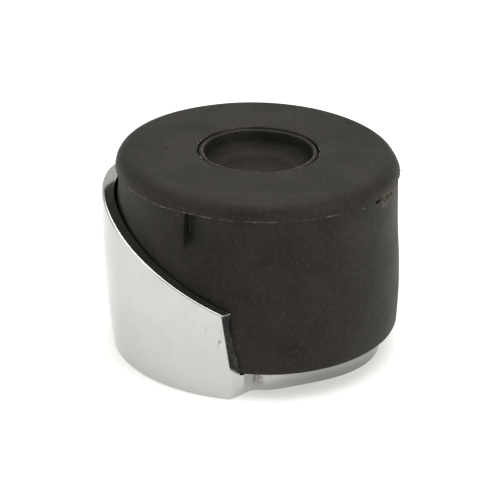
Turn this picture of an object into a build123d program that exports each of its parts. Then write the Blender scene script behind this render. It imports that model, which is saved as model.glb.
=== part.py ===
from build123d import *
import os
from math import asin, cos, hypot, radians, sin

os.makedirs("parts", exist_ok=True)

# Door stop that is screwed to the floor, in millimetres. Z is up from the floor and is the buffer's axis.
# The guard wall stands on the -X side. The buffer is bare towards +X, where the door meets it.

# Heights
total_height = 36.9
base_height = 5.0
slope_height = 16.75
slope_per_mm = 0.385
slope_crown_radius = 150.0

# Base casting
rim_outline = ((23.2, 0), (21.7, 7.3), (16.9, 13.7), (9.5, 19.1), (0, 21.3))
foot_radius = 25.6
wall_mid_radius = 27.2
wall_mid_z = 12.5
wall_radius = 27.9
wall_crown_z = 24.5
wall_top_radius = 27.35
wall_top_z = 32.0
wall_gap = 0.3
end_corner_round = 0.4
rim_blend = 2.0
slope_round = 0.3
foot_round = 0.4
wall_outer_zone = 26.0
slope_outer_zone = 26.7
underside_recess_radius = 16.5
underside_recess_depth = 2.3
underside_boss_radius = 7.0
hole_radius = 2.75
hole_wall_length = 2.5
hole_mouth_radius = 4.9

# Guard end faces: the outer edge, the inner edge and a point under the buffer, at each height where they turn
end_levels = (
    (0.0, (0.75, -25.6), (2.1, -23.6), (10.0, -12.0)),
    (5.0, (0.8, -26.4), (2.8, -25.4), (10.0, -12.0)),
    (8.5, (0.4, -26.8), (1.8, -25.8), (7.0, -18.0)),
    (17.5, (-0.9, -27.6), (0.45, -25.9), (4.0, -16.0)),
    (33.0, (-2.3, -27.8), (-0.9, -25.9), (2.0, -16.0)),
)

# Buffer
lip_radius = 25.25
lip_height = 3.0
lip_corner = 2.7
neck_radius = 25.0
waist_radius = 25.3
waist_z = 25.5
shoulder_radius = 25.6
shoulder_z = 18.5
belly_radius = 25.7
belly_z = 10.0
buffer_foot_radius = 25.5
flange_thickness = 3.4
flange_hole_radius = 3.2
bore_radius = 9.0
pocket_depth = 1.2

# Mould pockets under the lip: the angle of the deep side, the sweep and the bottom's height
pockets = ((-109.5, 8.0, 28.0), (-25.0, 4.0, 32.4), (70.5, 8.0, 28.0), (160.5, 8.0, 28.0))

# Cover cap
cap_radius = 10.7
cap_clearance = 0.2
cap_seat_z = 31.4
cap_rim_z = 36.7
cap_rim_drop = 0.4
cap_recess_radius = 9.3
cap_recess_floor_radius = 8.7
cap_recess_depth = 3.7

# Washer and fixing screw, as they are held in the buffer before the stop is fixed down
washer_radius = 8.7
washer_hole_radius = 2.7
washer_thickness = 1.2
screw_tip_z = 2.9
screw_length = 25.0
thread_radius = 2.5
core_radius = 1.6
thread_pitch = 2.4
tip_length = 4.0
neck_length = 3.0
head_radius = 4.75
head_height = 2.7
head_edge = 0.7
driver_span = 4.8
driver_width = 1.1
driver_depth = 1.7

lip_z = total_height - lip_height
flange_top_z = base_height + flange_thickness
head_z = screw_tip_z + screw_length


# Base casting: a floor disc with a half-round guard wall whose top slopes up to the back.

# The sloping top is part of a large cylinder whose axis lies under it and rises towards the back.
slope_run = hypot(1, slope_per_mm)
slope_axis_z = slope_height - slope_run * (slope_crown_radius - wall_mid_radius**2 / (2 * slope_crown_radius))
slope_plane = Plane(origin=(0, 0, slope_axis_z), x_dir=(0, 1, 0), z_dir=(-1, 0, slope_per_mm))

def guard_outline(level, outer, inner, under):
    """What is kept of the guard at one height, behind its two end faces."""
    reach = (30 + outer[1]) / (inner[1] - outer[1])
    far_x = outer[0] - reach * (inner[0] - outer[0])
    half = [(far_x, -30), inner, under]
    other_half = [(x, -y) for x, y in reversed(half)]
    with BuildSketch(Plane.XY.offset(level)) as outline:
        with BuildLine():
            Polyline((-40, -30), *half, *other_half, (-40, 30), close=True)
        make_face()
    return outline.sketch


def on_slope(edge):
    """True for an edge that lies in the guard's sloping top."""
    arms = [(edge @ t - slope_plane.origin).cross(slope_plane.z_dir) for t in (0, 0.5, 1)]
    return all(abs(arm.length - slope_crown_radius) < 0.02 for arm in arms)


def outside(edge, radius):
    """True for an edge that stays further from the axis than radius."""
    return all(hypot(p.X, p.Y) > radius for p in (edge @ 0.3, edge @ 0.5, edge @ 0.7))


with BuildPart() as guard_space:
    for end_level in end_levels:
        add(guard_outline(*end_level))
    loft()


with BuildPart() as base_casting:
    with BuildSketch(Plane.XZ):
        with BuildLine():
            Line((0, 0), (foot_radius, 0))
            wall = ThreePointArc((foot_radius, 0), (wall_mid_radius, wall_mid_z), (wall_radius, wall_crown_z))
            TangentArc((wall_radius, wall_crown_z), (wall_top_radius, wall_top_z), tangent=wall % 1)
            Line((wall_top_radius, wall_top_z), (waist_radius + wall_gap, wall_top_z))
            Line((waist_radius + wall_gap, wall_top_z), (waist_radius + wall_gap, waist_z))
            Spline(
                (waist_radius + wall_gap, waist_z),
                (shoulder_radius + wall_gap, shoulder_z),
                (belly_radius + wall_gap, belly_z),
                (buffer_foot_radius + wall_gap, base_height),
            )
            Line((buffer_foot_radius + wall_gap, base_height), (0, base_height))
            Line((0, base_height), (0, 0))
        make_face()
    revolve(axis=Axis.Z)
    add(guard_space.part, mode=Mode.INTERSECT)
    with BuildSketch(slope_plane):
        Circle(slope_crown_radius)
    extrude(amount=slope_crown_radius, both=True, mode=Mode.INTERSECT)
    with BuildSketch(Plane.XY):
        with BuildLine():
            Spline(*rim_outline, tangents=((0, 1), (-1, 0)))
            mirror(about=Plane.XZ)
            Line(rim_outline[-1], (0, -rim_outline[-1][1]))
        make_face()
    extrude(amount=base_height)
    upright = base_casting.edges().filter_by(lambda e: abs((e @ 0).Z - (e @ 1).Z) > 4)
    fillet(upright.filter_by(lambda e: (e @ 0.5).X > 3.3 and (e @ 0.5).Z < base_height), rim_blend)
    upright = base_casting.edges().filter_by(lambda e: abs((e @ 0).Z - (e @ 1).Z) > 4)
    fillet(upright.filter_by(lambda e: (e @ 0.5).X > -2 and outside(e, wall_outer_zone)), end_corner_round)
    slope_edges = base_casting.edges().filter_by(on_slope)
    fillet(slope_edges.filter_by(lambda e: outside(e, slope_outer_zone)), slope_round)
    fillet(base_casting.edges().group_by(Axis.Z)[0], foot_round)
    with BuildSketch(Plane.XY):
        Circle(underside_recess_radius)
        Circle(underside_boss_radius, mode=Mode.SUBTRACT)
    extrude(amount=underside_recess_depth, mode=Mode.SUBTRACT)
    with BuildSketch(Plane.XY):
        Circle(hole_radius)
    extrude(amount=base_height, mode=Mode.SUBTRACT)
    with Locations((0, 0, (hole_wall_length + base_height) / 2)):
        Cone(hole_radius, hole_mouth_radius, base_height - hole_wall_length, mode=Mode.SUBTRACT)
base_casting.part.label = "base_casting"
export_step(base_casting.part, "parts/base_casting.step")


# Rubber buffer: a ring with a lip round its top, mould pockets under the lip, and an inner flange to clamp.


def polar(radius, angle):
    """Point in plan at a radius and an angle in degrees from +X."""
    return (radius * cos(radians(angle)), radius * sin(radians(angle)))


with BuildPart() as rubber_buffer:
    with BuildSketch(Plane.XZ):
        with BuildLine():
            Line((flange_hole_radius, base_height), (buffer_foot_radius, base_height))
            Spline(
                (buffer_foot_radius, base_height),
                (belly_radius, belly_z),
                (shoulder_radius, shoulder_z),
                (waist_radius, waist_z),
                (neck_radius, lip_z),
            )
            Line((neck_radius, lip_z), (lip_radius, lip_z))
            Line((lip_radius, lip_z), (lip_radius, total_height - lip_corner))
            JernArc((lip_radius, total_height - lip_corner), (0, 1), lip_corner, 90)
            Line((lip_radius - lip_corner, total_height), (cap_radius + cap_clearance, total_height))
            Line((cap_radius + cap_clearance, total_height), (cap_radius + cap_clearance, cap_seat_z))
            Line((cap_radius + cap_clearance, cap_seat_z), (bore_radius, cap_seat_z))
            Line((bore_radius, cap_seat_z), (bore_radius, flange_top_z))
            Line((bore_radius, flange_top_z), (flange_hole_radius, flange_top_z))
            Line((flange_hole_radius, flange_top_z), (flange_hole_radius, base_height))
        make_face()
    revolve(axis=Axis.Z)
    for angle, sweep, bottom_z in pockets:
        with BuildSketch(Plane.XY.offset(bottom_z)):
            Polygon(
                polar(lip_radius - pocket_depth, angle),
                polar(lip_radius + 2, angle),
                polar(lip_radius + 2, angle + sweep),
                polar(lip_radius + 0.2, angle + sweep),
                align=None,
            )
        extrude(amount=lip_z - bottom_z, mode=Mode.SUBTRACT)
rubber_buffer.part.label = "rubber_buffer"
export_step(rubber_buffer.part, "parts/rubber_buffer.step")


# Cover cap: a shallow rubber cup that closes the buffer's bore over the screw.
with BuildPart() as cover_cap:
    with BuildSketch(Plane.XZ):
        Polygon(
            (0, cap_seat_z),
            (cap_radius, cap_seat_z),
            (cap_radius, cap_rim_z),
            (cap_recess_radius, cap_rim_z - cap_rim_drop),
            (cap_recess_floor_radius, cap_rim_z - cap_recess_depth),
            (0, cap_rim_z - cap_recess_depth),
            align=None,
        )
    revolve(axis=Axis.Z)
cover_cap.part.label = "cover_cap"
export_step(cover_cap.part, "parts/cover_cap.step")


# Washer that spreads the screw's load over the buffer's flange.
with BuildPart() as screw_washer:
    with BuildSketch(Plane.XY.offset(head_z - washer_thickness)):
        Circle(washer_radius)
        Circle(washer_hole_radius, mode=Mode.SUBTRACT)
    extrude(amount=washer_thickness)
    chamfer(screw_washer.edges().group_by(Axis.Z)[-1].sort_by(SortBy.RADIUS)[-1], washer_thickness / 4)
screw_washer.part.label = "screw_washer"
export_step(screw_washer.part, "parts/screw_washer.step")


# Fixing screw: domed head with a cross recess, and a thread drawn as rings.
dome_rise = head_height - head_edge
dome_radius = (head_radius**2 + dome_rise**2) / (2 * dome_rise)
head_top_z = head_z + head_height
dome_centre_z = head_top_z - dome_radius
dome_half_angle = asin(head_radius / dome_radius)
dome_mid_r = dome_radius * sin(dome_half_angle / 2)
dome_mid_z = dome_centre_z + dome_radius * cos(dome_half_angle / 2)
thread_turns = int((screw_length - tip_length - neck_length) / thread_pitch)
with BuildPart() as fixing_screw:
    with BuildSketch(Plane.XZ):
        with BuildLine():
            Line((0, screw_tip_z), (core_radius, screw_tip_z + tip_length))
            for turn in range(thread_turns):
                root = screw_tip_z + tip_length + turn * thread_pitch
                crest = root + thread_pitch / 2
                Line((core_radius, root), (thread_radius, crest))
                Line((thread_radius, crest), (core_radius, root + thread_pitch))
            Line((core_radius, root + thread_pitch), (core_radius, head_z))
            Line((core_radius, head_z), (head_radius, head_z))
            Line((head_radius, head_z), (head_radius, head_z + head_edge))
            ThreePointArc((head_radius, head_z + head_edge), (dome_mid_r, dome_mid_z), (0, head_top_z))
            Line((0, head_top_z), (0, screw_tip_z))
        make_face()
    revolve(axis=Axis.Z)
    with BuildSketch(Plane.XY.offset(head_top_z - driver_depth)):
        Rectangle(driver_span, driver_width)
        Rectangle(driver_width, driver_span)
    extrude(amount=driver_depth, mode=Mode.SUBTRACT)
fixing_screw.part.label = "fixing_screw"
export_step(fixing_screw.part, "parts/fixing_screw.step")
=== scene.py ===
import math

import bmesh
import bpy
import numpy as np
from mathutils import Matrix, Vector


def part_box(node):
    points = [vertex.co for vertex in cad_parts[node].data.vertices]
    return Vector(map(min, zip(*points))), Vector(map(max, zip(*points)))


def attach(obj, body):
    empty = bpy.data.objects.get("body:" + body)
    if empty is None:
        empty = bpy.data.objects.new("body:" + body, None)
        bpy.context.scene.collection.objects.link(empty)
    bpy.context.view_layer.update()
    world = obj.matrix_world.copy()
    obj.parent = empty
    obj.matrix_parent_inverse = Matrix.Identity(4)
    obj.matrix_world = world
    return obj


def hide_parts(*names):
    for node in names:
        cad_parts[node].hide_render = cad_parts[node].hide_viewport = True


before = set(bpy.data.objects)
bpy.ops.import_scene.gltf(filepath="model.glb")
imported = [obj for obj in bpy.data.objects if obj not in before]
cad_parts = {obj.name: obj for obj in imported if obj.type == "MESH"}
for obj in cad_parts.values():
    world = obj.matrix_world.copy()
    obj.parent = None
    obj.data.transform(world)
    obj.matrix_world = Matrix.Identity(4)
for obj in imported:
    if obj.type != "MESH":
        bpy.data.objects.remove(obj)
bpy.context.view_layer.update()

MM = 0.001

# Heights and radii, in millimetres, read from the frame
buffer_low, buffer_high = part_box("rubber_buffer")
cap_low, cap_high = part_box("cover_cap")
base_height = buffer_low[2] / MM
total_height = buffer_high[2] / MM
belly_radius = buffer_high[0] / MM
cap_radius = cap_high[0] / MM
cap_rim_z = cap_high[2] / MM
cap_seat_z = cap_low[2] / MM

# Rubber buffer, in millimetres
columns = 600
lip_z = total_height - 3.0
lip_radius = belly_radius - 0.45
lip_round = 2.7
lip_bead = 0.11
foot_round = 0.6
wall_curve = ((base_height, -0.2), (10.0, 0.0), (18.5, -0.1), (25.5, -0.4), (lip_z, -0.7))
bulge = 0.42
worn_corner = 0.38
guard_side_inset = 0.35
flange_top_z = base_height + 3.35
flange_hole_radius = 3.2
bore_radius = 9.0
seat_radius = cap_radius + 0.16
seat_round = 0.35

# Pockets and torn hole under its lip: first angle and sweep in degrees, then lowest height and depth
pockets = ((-109.5, 11.0, 26.4, 1.6), (70.5, 11.0, 26.4, 1.6), (160.5, 11.0, 26.4, 1.6))
torn_hole = (-25.2, 4.0, lip_z - 0.85, 1.2)

# Cover cap, in millimetres
cap_columns = 360
cap_edge = cap_radius - 0.04
cap_corner = 0.4
cap_foot_round = 0.3
well_edge = 9.75
well_round = 2.8
well_z = cap_rim_z - 4.2

# Outside of the guard wall, in millimetres, and how fast it falls away from its widest height
guard_radius = 27.9
guard_widest_z = 24.5
guard_fall_per_metre = 4.5

# Marks, each a place in millimetres and its reach
hair_mark = ((-17.0, -4.5, 36.9), 6.0)
tatter_mark = ((23.9, -6.9, 33.0), 2.6)
scuff_mark = ((-2.0, -27.3, 12.6), 3.0)
stain_mark = ((5.2, -20.9, 3.2), 2.6)

# Studio
studio_white = (1, 0.985, 0.955)
world_strength = 0.75
lights = (
    ("overhead", 8.2, 1.0, (0, 0.1, 0.9)),
    ("left", 1.7, 0.7, (-0.75, -0.35, 0.45)),
    ("right", 3.6, 0.7, (0.75, -0.25, 0.4)),
)
light_target = (0, 0, 0.02)
camera_azimuth, camera_roll, camera_elevation = math.radians(10), math.radians(1.436), math.radians(24.554)
camera_distance = 0.450
camera_lens = 179.28
camera_side_shift = -0.00103
camera_target_z = 0.017234


def smooth(value, low, high):
    """An S curve that is 0 at low and 1 at high."""
    t = np.clip((value - low) / (high - low), 0, 1)
    return t * t * (3 - 2 * t)


def ripple(angle, seed, waves, falloff=1.0):
    """A smooth irregular line round a circle, within about plus or minus one."""
    total = np.zeros_like(angle)
    weight = 0.0
    for i, count in enumerate(waves):
        size = (i + 1) ** -falloff
        total += size * np.sin(count * angle + seed * (i + 1.7) * 2.399)
        weight += size
    return total / weight * 1.6


# Meshes


def run(start, end, step):
    """Points from start up to, but not at, end, about step apart."""
    count = max(1, round(math.dist(start, end) / step))
    return [tuple(a + (b - a) * i / count for a, b in zip(start, end)) for i in range(count)]


def bend(centre, radius, first, last, count):
    """Points round an arc in the profile's plane, angles in degrees."""
    angles = [math.radians(first + (last - first) * i / count) for i in range(count)]
    return [(centre[0] + radius * math.cos(a), centre[1] + radius * math.sin(a)) for a in angles]


def add_mesh(name, points, faces, material, body, slot, sharp=40):
    """Make a piece from points in millimetres, and ride it on a body."""
    mesh = bpy.data.meshes.new(name)
    mesh.from_pydata([tuple(float(v) * MM for v in p) for p in points], [], faces)
    mesh.validate()
    whole = bmesh.new()
    whole.from_mesh(mesh)
    bmesh.ops.remove_doubles(whole, verts=whole.verts, dist=0.001 * MM)
    whole.to_mesh(mesh)
    whole.free()
    mesh.shade_smooth()
    mesh.set_sharp_from_angle(angle=math.radians(sharp))
    mesh.materials.append(material)
    piece = bpy.data.objects.new(name, mesh)
    bpy.context.scene.collection.objects.link(piece)
    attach(piece, body)
    return piece


def turned(profile, reshape, closed=True, count=columns):
    """Turn a profile round Z, and let reshape move each point of the grid."""
    radius = np.array([p[0] for p in profile])[:, None]
    height = np.array([p[1] for p in profile])[:, None]
    angle = np.linspace(-math.pi, math.pi, count, endpoint=False)[None, :]
    radius, height, angle = np.broadcast_arrays(radius, height, angle)
    radius, height = reshape(radius.copy(), height.copy(), angle)
    points = np.stack((radius * np.cos(angle), radius * np.sin(angle), height), axis=-1).reshape(-1, 3)
    rows = len(profile)
    faces = []
    for row in range(rows if closed else rows - 1):
        low, high = row * count, (row + 1) % rows * count
        for i in range(count):
            j = (i + 1) % count
            faces.append((low + i, low + j, high + j, high + i))
    return points, faces


# Materials


class Nodes:
    """A material's node tree, with short calls for its nodes. Inputs go by name, or as i0, i1 by number."""

    def __init__(self, name):
        self.material = bpy.data.materials.new(name)
        self.material.use_nodes = True
        self.tree = self.material.node_tree
        self.shader = self.tree.nodes["Principled BSDF"]
        self.place = self.add("ShaderNodeTexCoord").outputs["Object"]

    def add(self, kind, settings=None, **inputs):
        node = self.tree.nodes.new(kind)
        for key, value in (settings or {}).items():
            setattr(node, key, value)
        for key, value in inputs.items():
            numbered = key[0] == "i" and key[1:].isdigit()
            self.link(value, node.inputs[int(key[1:]) if numbered else key])
        return node

    def link(self, value, socket):
        if isinstance(value, bpy.types.NodeSocket):
            self.tree.links.new(value, socket)
        else:
            socket.default_value = value

    def noise(self, size_mm, detail=2.0, stretch=None, rough=0.5):
        """Noise whose features are about size_mm across."""
        place = self.place
        if stretch:
            place = self.add("ShaderNodeMapping", Vector=place, Scale=stretch).outputs[0]
        scale = 1 / (size_mm * MM)
        node = self.add("ShaderNodeTexNoise", Vector=place, Scale=scale, Detail=detail, Roughness=rough)
        return node.outputs[0]

    def spots(self, size_mm):
        """Distance to the nearest of scattered points, 0 at a point."""
        node = self.add("ShaderNodeTexVoronoi", Vector=self.place, Scale=1 / (size_mm * MM))
        return node.outputs["Distance"]

    def ramp(self, value, low, high, to_low=0.0, to_high=1.0):
        """Map low..high to to_low..to_high, held at both ends."""
        settings = {"interpolation_type": "SMOOTHSTEP", "clamp": True}
        node = self.add("ShaderNodeMapRange", settings, i0=value, i1=low, i2=high, i3=to_low, i4=to_high)
        return node.outputs[0]

    def math(self, operation, a, b=0.0):
        return self.add("ShaderNodeMath", {"operation": operation}, i0=a, i1=b).outputs[0]

    def times(self, a, b):
        return self.math("MULTIPLY", a, b)

    def along(self, axis):
        """A coordinate of the place, in metres: 0 for X, 1 for Y, 2 for Z."""
        return self.add("ShaderNodeSeparateXYZ", Vector=self.place).outputs[axis]

    def radius(self):
        """Distance from the buffer's axis, in metres."""
        flat = self.add("ShaderNodeVectorMath", {"operation": "MULTIPLY"}, i0=self.place, i1=(1, 1, 0))
        return self.add("ShaderNodeVectorMath", {"operation": "LENGTH"}, i0=flat.outputs[0]).outputs[1]

    def near(self, place, reach_mm):
        """1 at a place in millimetres, falling to 0 at reach_mm from it."""
        centre = tuple(v * MM for v in place)
        gap = self.add("ShaderNodeVectorMath", {"operation": "DISTANCE"}, i0=self.place, i1=centre).outputs[1]
        return self.ramp(gap, reach_mm * 0.4 * MM, reach_mm * MM, 1, 0)

    def mix(self, share, a, b):
        node = self.add("ShaderNodeMix", {"data_type": "RGBA"})
        for socket, value in ((node.inputs[0], share), (node.inputs[6], a), (node.inputs[7], b)):
            self.link(value, socket)
        return node.outputs[2]

    def bump(self, height, depth_mm, under=None):
        node = self.add("ShaderNodeBump", Height=height, Distance=depth_mm * MM, Strength=1.0)
        if under:
            self.link(under, node.inputs["Normal"])
        return node.outputs[0]

    def set(self, **inputs):
        for key, value in inputs.items():
            self.link(value, self.shader.inputs[key.replace("_", " ")])
        return self.material


def rubber_material(name, pale_mask):
    """Moulded black rubber with bloom, dust and one hair, and pale torn flash where pale_mask(nodes) is."""
    black, bloom, grain = (0.0050, 0.0045, 0.0036, 1), (0.0100, 0.0091, 0.0074, 1), (0.030, 0.0265, 0.021, 1)
    dust, hair_colour, torn = (0.13, 0.118, 0.098, 1), (0.055, 0.050, 0.041, 1), (0.095, 0.086, 0.070, 1)
    n = Nodes(name)
    base = n.mix(n.ramp(n.noise(9, 3), 0.35, 0.68), black, bloom)
    base = n.mix(n.ramp(n.noise(0.7, 4, rough=0.75), 0.46, 0.74, 0, 0.46), base, grain)
    specks = n.times(n.ramp(n.spots(1.1), 0.04, 0.14, 1, 0), n.ramp(n.noise(2.5, 2), 0.5, 0.62))
    base = n.mix(n.times(specks, 0.35), base, dust)
    hair = n.ramp(n.math("ABSOLUTE", n.math("SUBTRACT", n.noise(7, 1), 0.5)), 0.002, 0.010, 1, 0)
    hair = n.times(n.near(*hair_mark), hair)
    base = n.mix(n.times(hair, 0.6), base, hair_colour)
    base = n.mix(pale_mask(n), base, torn)
    rough = n.ramp(n.noise(6, 3), 0.35, 0.65, 0.55, 0.60)
    rough = n.math("ADD", rough, n.ramp(n.noise(0.5, 3), 0.3, 0.7, -0.04, 0.04))
    relief = n.bump(n.noise(0.28, 3, rough=0.6), 0.019)
    n.set(Specular_IOR_Level=0.205, Specular_Tint=(1.0, 0.93, 0.80, 1))
    return n.set(Base_Color=base, Roughness=rough, Normal=relief)


def lip_flash(n):
    """The parting line under the lip, pale in torn stretches, and a pale torn patch beside the torn hole."""
    height = n.along(2)
    off = n.math("ABSOLUTE", n.math("SUBTRACT", height, lip_z * MM))
    line = n.ramp(off, 0.06 * MM, 0.22 * MM, 1, 0)
    stretches = n.ramp(n.noise(7, 2), 0.42, 0.62, 0.05, 0.9)
    line = n.times(line, n.times(stretches, n.ramp(n.noise(0.7, 3), 0.38, 0.62, 0.2, 0.9)))
    patch = n.times(n.near(*tatter_mark), n.ramp(height, lip_z * MM, (lip_z + 0.3) * MM, 1, 0.1))
    patch = n.times(patch, n.ramp(n.noise(0.45, 4), 0.47, 0.60, 0, 0.8))
    return n.math("MAXIMUM", line, patch)


def cap_flash(n):
    """A thin pale line on the near half of the cap's rim, broken into stretches."""
    off = n.math("ABSOLUTE", n.math("SUBTRACT", n.radius(), (cap_radius - 0.75) * MM))
    line = n.ramp(off, 0.05 * MM, 0.22 * MM, 1, 0)
    line = n.times(line, n.ramp(n.along(1), -3 * MM, 4 * MM, 1, 0))
    return n.times(line, n.ramp(n.noise(1.3, 4, rough=0.7), 0.42, 0.62, 0.1, 0.8))


def chrome_material():
    """Chrome plate with waves, haze and scratches, satin inside the guard, with a painted dark reflection on
    its ends and painted light and shade in places.
    """
    n = Nodes("chrome")
    across, height = n.along(0), n.along(2)
    normal = n.add("ShaderNodeTexCoord").outputs["Normal"]
    facing_up = n.add("ShaderNodeSeparateXYZ", Vector=normal).outputs[2]

    # Plate: haze and streaks, then a painted lighter reflection near the floor and a painted darker
    # reflection far out on the guard
    haze = n.noise(5, 4, rough=0.6)
    base = n.mix(n.ramp(haze, 0.35, 0.7), (0.475, 0.473, 0.466, 1), (0.45, 0.447, 0.438, 1))
    streaks = n.noise(1.6, 3, stretch=(1, 1, 0.12))
    base = n.mix(n.ramp(streaks, 0.35, 0.7, 0, 0.25), base, (0.50, 0.497, 0.49, 1))
    # Painted light: lighter towards the floor, standing in for the floor's reflection
    base = n.mix(n.ramp(height, 1.0 * MM, 11.0 * MM, 1, 0), base, (0.515, 0.512, 0.503, 1))
    # Painted shade: darker far out on the guard
    base = n.mix(n.ramp(across, -27 * MM, -15 * MM, 0.6, 0), base, (0.40, 0.397, 0.39, 1))

    # Satin on the guard's inside and top, found by the depth under its polished outside
    above = n.math("SUBTRACT", height, guard_widest_z * MM)
    crown = n.times(n.times(above, above), -guard_fall_per_metre)
    depth = n.math("SUBTRACT", n.math("ADD", crown, guard_radius * MM), n.radius())
    satin = n.math("MAXIMUM", n.ramp(depth, 0.25 * MM, 0.5 * MM), n.ramp(facing_up, 0.2, 0.6))
    satin = n.times(satin, n.ramp(height, 5.3 * MM, 6.2 * MM))
    base = n.mix(satin, base, (0.49, 0.487, 0.478, 1))

    # Painted dark reflection on the guard's end faces, behind a line that leans with them
    lean = n.times(n.math("SUBTRACT", height, 8.5 * MM), 0.144)
    edge = n.math("ADD", across, lean)
    end = n.ramp(edge, 0.2 * MM, 0.4 * MM)
    end = n.times(end, n.ramp(n.math("ADD", height, edge), 6.3 * MM, 7.3 * MM))
    end = n.times(end, n.ramp(height, 5.1 * MM, 5.5 * MM))
    end = n.times(end, n.ramp(facing_up, 0.25, 0.5, 1, 0))
    # Near-black painted reflection of the rubber and surroundings, in place of a mirror image
    painted_end_reflection = n.mix(n.ramp(n.noise(2.0, 3), 0.4, 0.7), (0.020, 0.020, 0.0195, 1), (0.050, 0.050, 0.048, 1))
    base = n.mix(end, base, painted_end_reflection)

    # Wear: a scuff by the guard's end and a brown stain on the rim. Then painted shade: the rim's far half
    # darker
    hairs = n.math("ABSOLUTE", n.math("SUBTRACT", n.noise(2.6, 3, stretch=(1.6, 1, 0.7)), 0.5))
    hairs = n.ramp(hairs, 0.004, 0.016, 1, 0)
    scuff = n.times(n.near(*scuff_mark), hairs)
    base = n.mix(n.times(scuff, 0.75), base, (0.20, 0.19, 0.175, 1))
    stain = n.times(n.near(*stain_mark), n.ramp(hairs, 0.0, 1.0, 0.08, 0.9))
    base = n.mix(stain, base, (0.17, 0.12, 0.09, 1))
    # Painted shade: the rim darker towards +X, a painted reflection tone
    painted_rim_shade = n.ramp(across, 3 * MM, 19 * MM, 0, 0.75)
    painted_rim_shade = n.times(painted_rim_shade, n.ramp(height, (base_height - 0.1) * MM, (base_height + 0.1) * MM, 1, 0))
    base = n.mix(painted_rim_shade, base, (0.27, 0.265, 0.255, 1))

    scratch = n.ramp(n.noise(2.2, 2, stretch=(0.35, 9, 2.4)), 0.66, 0.70)
    rough = n.ramp(haze, 0.3, 0.75, 0.05, 0.11)
    rough = n.math("ADD", rough, n.times(scratch, 0.12))
    rough = n.math("ADD", rough, n.times(satin, 0.07))
    relief = n.bump(n.noise(7, 1), 0.012)
    relief = n.bump(scratch, 0.002, relief)
    return n.set(Base_Color=base, Metallic=1.0, Roughness=rough, Normal=relief)


def flash_material():
    """Thin torn rubber, dusty and paler than the moulding it hangs from."""
    n = Nodes("flash")
    base = n.mix(n.ramp(n.noise(0.5, 3), 0.35, 0.65), (0.032, 0.029, 0.024, 1), (0.15, 0.134, 0.110, 1))
    relief = n.bump(n.noise(0.15, 2), 0.01)
    return n.set(Base_Color=base, Roughness=0.75, Normal=relief, Specular_IOR_Level=0.2)


def steel_material():
    """Zinc-plated steel with turning marks."""
    n = Nodes("zinc")
    marks = n.noise(0.6, 3, stretch=(1, 1, 5))
    base = n.mix(n.ramp(n.noise(3, 3), 0.4, 0.7), (0.56, 0.56, 0.55, 1), (0.42, 0.42, 0.40, 1))
    rough = n.ramp(marks, 0.3, 0.7, 0.24, 0.42)
    return n.set(Base_Color=base, Metallic=1.0, Roughness=rough, Normal=n.bump(marks, 0.01))


chrome = chrome_material()
rubber = rubber_material("rubber", lip_flash)
cap_rubber = rubber_material("cap_rubber", cap_flash)
steel = steel_material()
flash = flash_material()
for node, material in (("base_casting", chrome), ("screw_washer", steel), ("fixing_screw", steel)):
    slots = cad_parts[node].data.materials
    slots.clear()
    slots.append(material)


# Rubber buffer


def wall_radius(z):
    """Radius of the buffer's side at a height."""
    heights = np.array([h for h, _ in wall_curve])
    offsets = np.array([o for _, o in wall_curve])
    fine = np.linspace(heights[0], heights[-1], 200)
    coarse = np.interp(fine, heights, offsets)
    kernel = np.hanning(41) / np.hanning(41).sum()
    padded = np.pad(coarse, 20, mode="edge")
    return belly_radius + np.interp(z, fine, np.convolve(padded, kernel, "valid"))


def buffer_shape(radius, height, angle):
    """The bare side's bulge, pockets, torn hole, bead of flash, worn corner and slightly uneven surface."""
    degrees = np.degrees(angle)
    side = smooth(radius, 24.0, 24.6) * (1 - smooth(height, lip_z - 0.2, lip_z))
    bare = 1 - smooth(np.abs(degrees), 68, 87)
    guard_side = smooth(np.abs(degrees), 120, 150)
    radius = radius - side * guard_side_inset * guard_side * smooth(height, 24, 31)
    radius = radius + side * bare * bulge * (1 - smooth(height, 12, 26))
    for start, sweep, bottom, depth in pockets:
        width = sweep * (0.45 + 0.55 * smooth(height, bottom, bottom + 4.5))
        ramp = np.clip(1 - (degrees - start) / width, 0, 1) ** 0.65
        across = smooth(degrees, start - 0.5, start + 0.5) * ramp
        radius = radius - side * depth * across * smooth(height, bottom, bottom + 3.0)
    start, sweep, bottom, depth = torn_hole
    across = smooth(degrees, start, start + 0.7) * (1 - smooth(degrees, start + sweep - 1.2, start + sweep))
    radius = radius - side * depth * across * smooth(height, bottom, bottom + 0.35)
    ragged = np.clip(0.55 + ripple(angle, 3, (61, 97, 143, 211, 283), 0.3), 0, 2)
    bead = np.exp(-(((height - lip_z) / 0.13) ** 2)) * smooth(radius, 24.5, 24.9)
    radius = radius + bead * lip_bead * ragged
    worn = smooth(degrees, 2, 22) * (1 - smooth(degrees, 60, 90)) * smooth(height, lip_z, lip_z + 1.2)
    radius = radius - worn_corner * worn * smooth(radius, 22.5, 24.5)
    outer = smooth(radius, 22.0, 24.5)
    radius = radius + outer * 0.035 * ripple(angle, 1, (3, 5, 9, 14, 23))
    height = height + smooth(height, 36.0, 36.8) * 0.03 * ripple(angle, 5, (4, 7, 11))
    return radius, height


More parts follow.
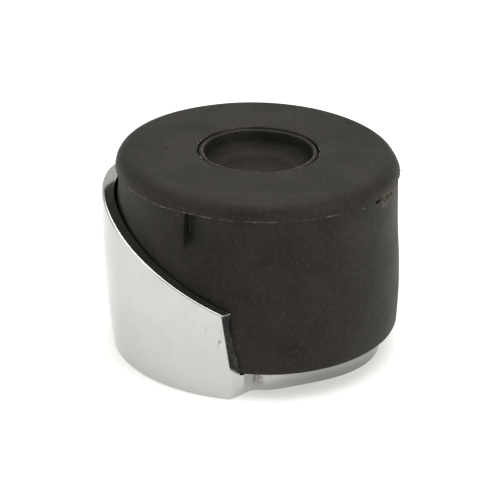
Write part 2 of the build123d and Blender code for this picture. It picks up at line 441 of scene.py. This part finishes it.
def make_buffer():
    """The profile starts at the flange's hole and goes round by the foot, side, lip, top, seat and bore."""
    foot_centre = belly_radius - 0.2 - foot_round
    fine_from = 27.0
    side_rows = run((0, base_height + foot_round), (0, fine_from), 0.7)
    side_rows += run((0, fine_from), (0, lip_z - 0.1), 0.2)
    profile = run((flange_hole_radius, base_height), (foot_centre, base_height), 2.0)
    profile += bend((foot_centre, base_height + foot_round), foot_round, -90, 0, 5)
    profile += [(float(wall_radius(z)), z) for _, z in side_rows]
    profile += [(lip_radius - 0.25, lip_z - 0.1), (lip_radius - 0.08, lip_z - 0.04)]
    profile += run((lip_radius, lip_z), (lip_radius, total_height - lip_round), 0.08)
    profile += bend((lip_radius - lip_round, total_height - lip_round), lip_round, 0, 90, 20)
    profile += run((lip_radius - lip_round, total_height), (seat_radius + seat_round, total_height), 0.8)
    profile += bend((seat_radius + seat_round, total_height - seat_round), seat_round, 90, 180, 6)
    profile += run((seat_radius, total_height - seat_round), (seat_radius, cap_seat_z), 1.0)
    profile += run((seat_radius, cap_seat_z), (bore_radius, cap_seat_z), 1.0)
    profile += run((bore_radius, cap_seat_z), (bore_radius, flange_top_z), 2.5)
    profile += run((bore_radius, flange_top_z), (flange_hole_radius, flange_top_z), 2.0)
    profile += run((flange_hole_radius, flange_top_z), (flange_hole_radius, base_height), 1.7)
    piece = add_mesh("buffer_body", *turned(profile, buffer_shape), rubber, "base", "buffer_rubber")
    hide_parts("rubber_buffer")


make_buffer()


# Cover cap


def cap_shape(radius, height, angle):
    """A slightly uneven rim."""
    rim = smooth(height, cap_rim_z - 1.0, cap_rim_z - 0.2) * smooth(radius, 8.8, 9.6)
    height = height + rim * 0.05 * ripple(angle, 7, (5, 9, 17, 31))
    radius = radius - rim * 0.03 * ripple(angle, 9, (13, 29, 47)) * (radius < cap_radius - 0.3)
    return radius, height


def make_cap():
    """The profile starts on the axis at the cap's foot and goes round by its edge and rim into the well."""
    profile = [(0, cap_seat_z)] + run((1, cap_seat_z), (cap_edge - cap_foot_round, cap_seat_z), 1.5)
    profile += bend((cap_edge - cap_foot_round, cap_seat_z + cap_foot_round), cap_foot_round, -90, 0, 4)
    profile += run((cap_edge, cap_seat_z + cap_foot_round), (cap_edge, cap_rim_z - cap_corner), 0.8)
    profile += bend((cap_edge - cap_corner, cap_rim_z - cap_corner), cap_corner, 0, 84, 6)
    profile += run((cap_edge - cap_corner, cap_rim_z), (well_edge + 0.28, cap_rim_z - 0.02), 0.1)
    profile += bend((well_edge + 0.28, cap_rim_z - 0.3), 0.28, 90, 178, 6)
    profile += run((well_edge, cap_rim_z - 0.3), (well_edge - 0.1, well_z + well_round), 0.3)
    profile += bend((well_edge - 0.1 - well_round, well_z + well_round), well_round, 0, -90, 14)
    profile += run((well_edge - 0.1 - well_round, well_z), (0, well_z), 0.5) + [(0, well_z)]
    points, faces = turned(profile, cap_shape, closed=False, count=cap_columns)
    piece = add_mesh("cap_dish", points, faces, cap_rubber, "cap", "cap_rubber")
    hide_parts("cover_cap")


make_cap()


# Torn flash


def make_flash():
    """Small ragged flakes where the mould's parts met: under the lip, by the hole and round the cap."""
    random = np.random.default_rng(11)
    step, root, half_thick = 0.12, 0.12, 0.05
    points, faces = [], []

    def flake(degrees, radius, height, length, reach, lean):
        """A ragged sliver along the circle, reach wide, leaning up from level by lean degrees."""
        steps = max(3, int(length / step))
        first = len(points)
        start = math.radians(degrees)
        for i in range(steps + 1):
            angle = start + (i / steps - 0.5) * length / radius
            taper = math.sin(math.pi * (0.06 + 0.88 * i / steps)) ** 0.7
            out = reach * taper * random.uniform(0.35, 1.0)
            rise = out * math.sin(math.radians(lean)) + random.uniform(-0.02, 0.02)
            out *= math.cos(math.radians(lean))
            wander = 0.04 * math.sin(9 * i / steps + degrees)
            tip = (radius + out, height + rise + wander)
            for r, z in ((radius - root, height - half_thick), tip, (radius - root, height + half_thick)):
                points.append((r * math.cos(angle), r * math.sin(angle), z))
        for i in range(steps):
            a, b = first + 3 * i, first + 3 * i + 3
            for j in range(3):
                k = (j + 1) % 3
                faces.append((a + j, b + j, b + k, a + k))
        last = first + 3 * steps
        faces.extend(((first, first + 1, first + 2), (last + 2, last + 1, last)))

    # Under the lip: first and last angle, how many, and their reach
    lip_stretches = (
        (-128, -109, 13, 0.30),
        (-108, -60, 9, 0.14),
        (-60, -26, 6, 0.14),
        (-21, -6, 16, 0.45),
        (0, 232, 22, 0.16),
    )
    for low, high, count, reach in lip_stretches:
        for _ in range(count):
            length = random.uniform(0.4, 1.5)
            place = random.uniform(low, high), lip_radius, lip_z + random.uniform(-0.1, 0.12)
            flake(*place, length, reach, -25)

    # Lower down: beside the pocket, beside the torn hole, and a few between them
    for _ in range(4):
        place = random.uniform(-113.5, -110), lip_radius - 0.1, lip_z - random.uniform(0.2, 0.7)
        flake(*place, 0.8, 0.28, -10)
    for _ in range(24):
        place = random.uniform(-20.5, -11), lip_radius - 0.15, lip_z - random.uniform(0.1, 1.4)
        flake(*place, random.uniform(0.3, 0.9), 0.42, random.uniform(-60, 0))
    for _ in range(3):
        place = random.uniform(-35, -31), lip_radius - 0.1, lip_z - random.uniform(0.1, 0.6)
        flake(*place, 0.6, 0.3, -60)

    # Round the cap: first and last angle, and how many
    for low, high, count in ((150, 215, 9), (-40, 35, 10), (-120, -60, 3), (60, 130, 3)):
        for _ in range(count):
            length = random.uniform(0.25, 0.8)
            place = random.uniform(low, high), seat_radius + 0.12, total_height - 0.06
            flake(*place, length, random.uniform(0.08, 0.2), 55)
    add_mesh("flash_scraps", points, faces, flash, "base", "buffer_rubber", sharp=30)


make_flash()


# Floor, light and camera


def make_floor():
    mesh = bpy.data.meshes.new("floor")
    mesh.from_pydata([(-2, -2, 0), (2, -2, 0), (2, 2, 0), (-2, 2, 0)], [], [(0, 1, 2, 3)])
    floor = bpy.data.objects.new("floor", mesh)
    bpy.context.scene.collection.objects.link(floor)
    n = Nodes("floor")
    n.set(Emission_Color=(*studio_white, 1), Emission_Strength=0.28)
    mesh.materials.append(n.set(Base_Color=(0.72, 0.72, 0.72, 1), Roughness=0.8, Specular_IOR_Level=0.1))


def make_light(name, energy, size, place):
    light = bpy.data.lights.new(name, "AREA")
    light.energy = energy
    light.size = size
    light.color = studio_white
    lamp = bpy.data.objects.new(name, light)
    lamp.location = place
    lamp.rotation_euler = (Vector(light_target) - Vector(place)).to_track_quat("-Z", "Y").to_euler()
    bpy.context.scene.collection.objects.link(lamp)


def aim_camera():
    """The camera stands in front and a little to the right, looking down on the stop."""
    right = Vector((math.cos(camera_azimuth), math.sin(camera_azimuth), 0))
    level = Vector((-math.sin(camera_azimuth), math.cos(camera_azimuth), 0))
    ahead = level * math.cos(camera_elevation) - Vector((0, 0, math.sin(camera_elevation)))
    up = right.cross(ahead)
    side = right * math.cos(camera_roll) + up * math.sin(camera_roll)
    top = up * math.cos(camera_roll) - right * math.sin(camera_roll)
    target = right * camera_side_shift + Vector((0, 0, camera_target_z))
    camera = bpy.data.objects.new("camera", bpy.data.cameras.new("camera"))
    bpy.context.scene.collection.objects.link(camera)
    place = Matrix((side, top, -ahead)).transposed().to_4x4()
    place.translation = target - ahead * camera_distance
    camera.matrix_world = place
    camera.data.lens = camera_lens
    camera.data.sensor_width = 36
    camera.data.clip_start = 0.01
    bpy.context.scene.camera = camera


def make_world():
    """Even pale light from all sides."""
    world = bpy.data.worlds.new("studio")
    bpy.context.scene.world = world
    world.use_nodes = True
    background = world.node_tree.nodes["Background"]
    background.inputs["Color"].default_value = (*studio_white, 1)
    background.inputs["Strength"].default_value = world_strength


make_floor()
make_world()
for light_settings in lights:
    make_light(*light_settings)
aim_camera()
bpy.context.scene.view_settings.view_transform = "Standard"
